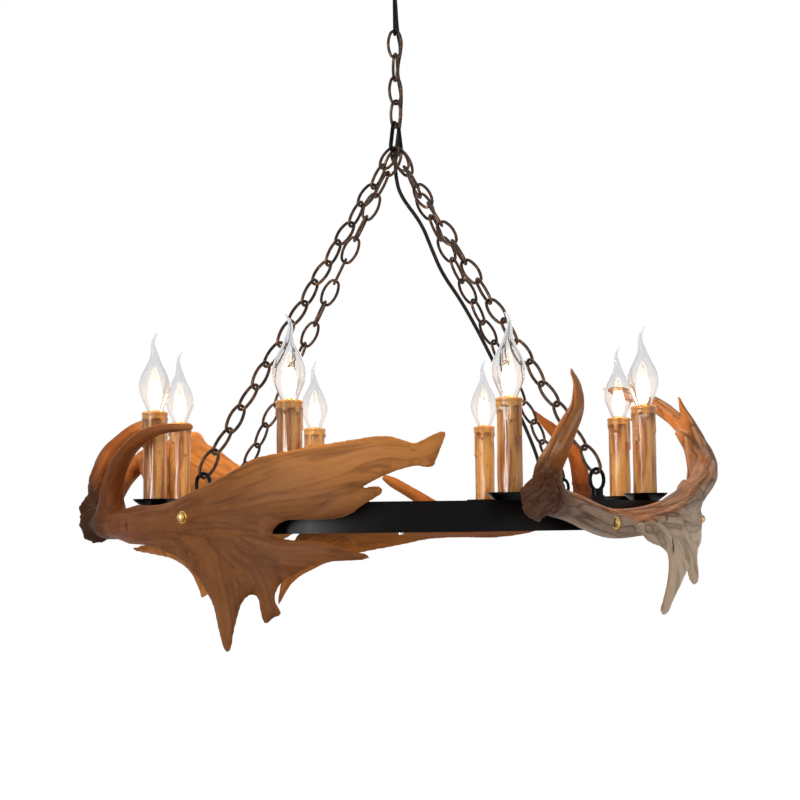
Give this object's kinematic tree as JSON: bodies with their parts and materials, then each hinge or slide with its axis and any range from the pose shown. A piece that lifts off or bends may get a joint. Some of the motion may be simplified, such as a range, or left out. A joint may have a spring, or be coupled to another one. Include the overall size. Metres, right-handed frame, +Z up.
{
  "type": "antler chandelier",
  "caption": "Round chandelier with flame bulbs on candle sleeves, wrapped in palmate antlers and hung by chains from a ceiling canopy.",
  "frame": {"origin": "middle of the canopy's top, in the plane of the ceiling", "axes": "+Z up into the ceiling, +X to the right, the front at -Y"},
  "size_m": [0.7498, 0.6758, 0.804],
  "materials": {
    "ring_black": "satin near-black paint, rubbed slightly brown at its edges",
    "chain_bronze": "antique dark bronze with lighter rubbed edges",
    "cable_black": "matt black sheath",
    "bolt_brass": "aged brass",
    "holder_brass": "plain brass",
    "zinc_steel": "zinc plated",
    "terminal_plastic": "moulded off-white",
    "candle_tan": "honey-tan wax with fine upright grain and brown stains",
    "bulb_glass": "clear, lit by a warm filament",
    "antler": "cast antler: grooved brown with paler worn ridges and tips"
  },
  "bodies": {
    "ceiling": {"canopy": "ring_black", "mounting_strap": "zinc_steel", "ceiling_loop": "ring_black", "loop_nuts": "zinc_steel", "terminal_block": "terminal_plastic", "cable_bushing": "cable_black"},
    "connector": {"drop_connector": "ring_black"},
    "chain_link_1": {"drop_link_1": "chain_bronze"},
    "chain_link_2": {"drop_link_2": "chain_bronze"},
    "chain_link_3": {"drop_link_3": "chain_bronze"},
    "chain_link_4": {"drop_link_4": "chain_bronze"},
    "lamp_ring": {"hub_link": "ring_black", "leg_chain_front_right": "chain_bronze", "leg_chain_back_right": "chain_bronze", "leg_chain_back_left": "chain_bronze", "leg_chain_front_left": "chain_bronze", "eye_bolts": "ring_black", "ring_channel": "ring_black", "ring_cover": "ring_black", "cover_screws": "zinc_steel", "lamp_wiring": "cable_black", "supply_cable": "cable_black", "lamp_nuts": "zinc_steel", "antler_bolts": "bolt_brass", "drip_dish_1": "ring_black", "drip_dish_2": "ring_black", "drip_dish_3": "ring_black", "drip_dish_4": "ring_black", "drip_dish_5": "ring_black", "drip_dish_6": "ring_black", "drip_dish_7": "ring_black", "drip_dish_8": "ring_black", "lamp_holder_1": "holder_brass", "lamp_holder_2": "holder_brass", "lamp_holder_3": "holder_brass", "lamp_holder_4": "holder_brass", "lamp_holder_5": "holder_brass", "lamp_holder_6": "holder_brass", "lamp_holder_7": "holder_brass", "lamp_holder_8": "holder_brass", "candle_sleeve_1": "candle_tan", "candle_sleeve_2": "candle_tan", "candle_sleeve_3": "candle_tan", "candle_sleeve_4": "candle_tan", "candle_sleeve_5": "candle_tan", "candle_sleeve_6": "candle_tan", "candle_sleeve_7": "candle_tan", "candle_sleeve_8": "candle_tan", "antler_left_front": "antler", "antler_left_back": "antler", "antler_right_front": "antler", "antler_right_back": "antler"},
    "lamp_bulb_1": {"bulb_1": "bulb_glass"},
    "lamp_bulb_2": {"bulb_2": "bulb_glass"},
    "lamp_bulb_3": {"bulb_3": "bulb_glass"},
    "lamp_bulb_4": {"bulb_4": "bulb_glass"},
    "lamp_bulb_5": {"bulb_5": "bulb_glass"},
    "lamp_bulb_6": {"bulb_6": "bulb_glass"},
    "lamp_bulb_7": {"bulb_7": "bulb_glass"},
    "lamp_bulb_8": {"bulb_8": "bulb_glass"}
  },
  "joints": [
    {"name": "connector_swing", "type": "hinge", "parent": "ceiling", "child": "connector", "pos_m": [0, 0, -0.053], "axis": [1, 0, 0], "range_deg": [-12, 12], "deforming": ["supply_cable"]},
    {"name": "link_1_swing", "type": "hinge", "parent": "connector", "child": "chain_link_1", "pos_m": [0, 0, -0.1047], "axis": [0, 1, 0], "range_deg": [-12, 12], "deforming": ["supply_cable"]},
    {"name": "link_2_swing", "type": "hinge", "parent": "chain_link_1", "child": "chain_link_2", "pos_m": [0, 0, -0.13225], "axis": [1, 0, 0], "range_deg": [-12, 12], "deforming": ["supply_cable"]},
    {"name": "link_3_swing", "type": "hinge", "parent": "chain_link_2", "child": "chain_link_3", "pos_m": [0, 0, -0.16005], "axis": [-0.309, 0.9511, 0], "range_deg": [-12, 12], "deforming": ["supply_cable"]},
    {"name": "link_4_swing", "type": "hinge", "parent": "chain_link_3", "child": "chain_link_4", "pos_m": [0, 0, -0.18785], "axis": [0.8988, 0.4384, 0], "range_deg": [-12, 12], "deforming": ["supply_cable"]},
    {"name": "ring_swing", "type": "hinge", "parent": "chain_link_4", "child": "lamp_ring", "pos_m": [0, 0, -0.21565], "axis": [-0.7193, 0.6947, 0], "range_deg": [-12, 12], "deforming": ["supply_cable"]},
    {"name": "bulb_1_screw", "type": "hinge", "parent": "lamp_ring", "child": "lamp_bulb_1", "pos_m": [0.11098, -0.26793, -0.56197], "axis": [0, 0, 1], "range_deg": [0, 900]},
    {"name": "bulb_2_screw", "type": "hinge", "parent": "lamp_ring", "child": "lamp_bulb_2", "pos_m": [0.26793, -0.11098, -0.56197], "axis": [0, 0, 1], "range_deg": [0, 900]},
    {"name": "bulb_3_screw", "type": "hinge", "parent": "lamp_ring", "child": "lamp_bulb_3", "pos_m": [0.26793, 0.11098, -0.56197], "axis": [0, 0, 1], "range_deg": [0, 900]},
    {"name": "bulb_4_screw", "type": "hinge", "parent": "lamp_ring", "child": "lamp_bulb_4", "pos_m": [0.11098, 0.26793, -0.56197], "axis": [0, 0, 1], "range_deg": [0, 900]},
    {"name": "bulb_5_screw", "type": "hinge", "parent": "lamp_ring", "child": "lamp_bulb_5", "pos_m": [-0.11098, 0.26793, -0.56197], "axis": [0, 0, 1], "range_deg": [0, 900]},
    {"name": "bulb_6_screw", "type": "hinge", "parent": "lamp_ring", "child": "lamp_bulb_6", "pos_m": [-0.26793, 0.11098, -0.56197], "axis": [0, 0, 1], "range_deg": [0, 900]},
    {"name": "bulb_7_screw", "type": "hinge", "parent": "lamp_ring", "child": "lamp_bulb_7", "pos_m": [-0.26793, -0.11098, -0.56197], "axis": [0, 0, 1], "range_deg": [0, 900]},
    {"name": "bulb_8_screw", "type": "hinge", "parent": "lamp_ring", "child": "lamp_bulb_8", "pos_m": [-0.11098, -0.26793, -0.56197], "axis": [0, 0, 1], "range_deg": [0, 900]}
  ]
}
